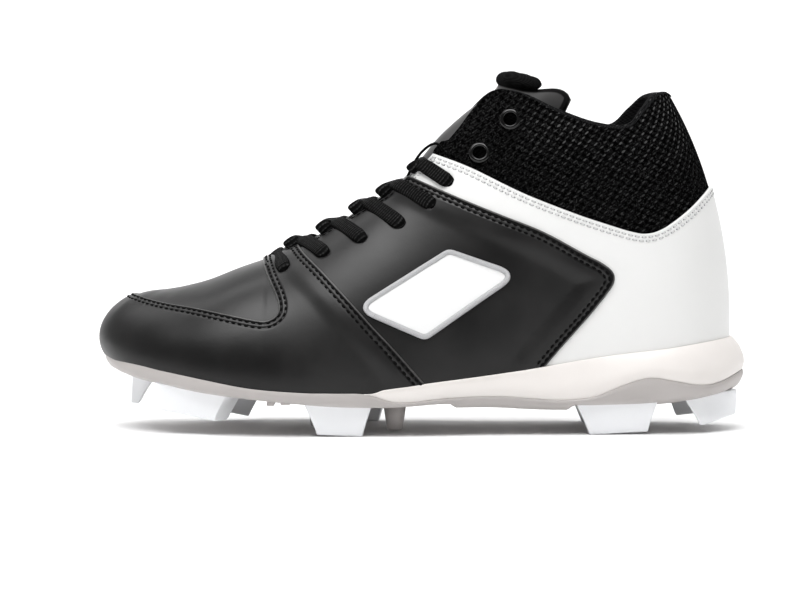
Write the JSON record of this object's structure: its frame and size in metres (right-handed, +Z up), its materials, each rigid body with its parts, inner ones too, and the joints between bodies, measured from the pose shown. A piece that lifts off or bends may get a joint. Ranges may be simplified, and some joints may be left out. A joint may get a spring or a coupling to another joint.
{
  "type": "softball cleat",
  "caption": "Mid-cut moulded softball cleat for the left foot, with a leather and mesh upper, lacing, a cream midsole and a studded outsole.",
  "frame": {"origin": "middle of the shoe's footprint, on the ground under the studs", "axes": "+X from the toe to the heel, +Y towards the medial side, +Z up"},
  "size_m": [0.2754, 0.0914, 0.1536],
  "materials": {
    "black_leather": "soft sheen",
    "white_leather": "soft sheen",
    "black_mesh": "matt",
    "black_lace": "matt",
    "black_metal": "gloss",
    "cream_foam": "matt",
    "grey_rubber": "matt",
    "white_stud": "satin",
    "grey_insole": "matt"
  },
  "bodies": {
    "root": {"upper": "black_mesh", "toe_guard": "black_leather", "quarter_lateral": "black_leather", "quarter_medial": "black_leather", "heel_panel": "white_leather", "tongue": "black_leather", "tongue_tab": "black_lace", "laces": "black_lace", "eyelet_lateral_1": "black_metal", "eyelet_lateral_2": "black_metal", "eyelet_medial_1": "black_metal", "eyelet_medial_2": "black_metal", "insole": "grey_insole", "midsole": "cream_foam", "outsole": "grey_rubber", "cleat_toe_bar": "white_stud", "cleat_toe_lateral": "white_stud", "cleat_toe_medial": "white_stud", "cleat_ball_lateral": "white_stud", "cleat_ball_medial": "white_stud", "cleat_heel_lateral": "white_stud", "cleat_heel_medial": "white_stud", "cleat_rear_lateral": "white_stud", "cleat_rear_medial": "white_stud"}
  },
  "joints": []
}
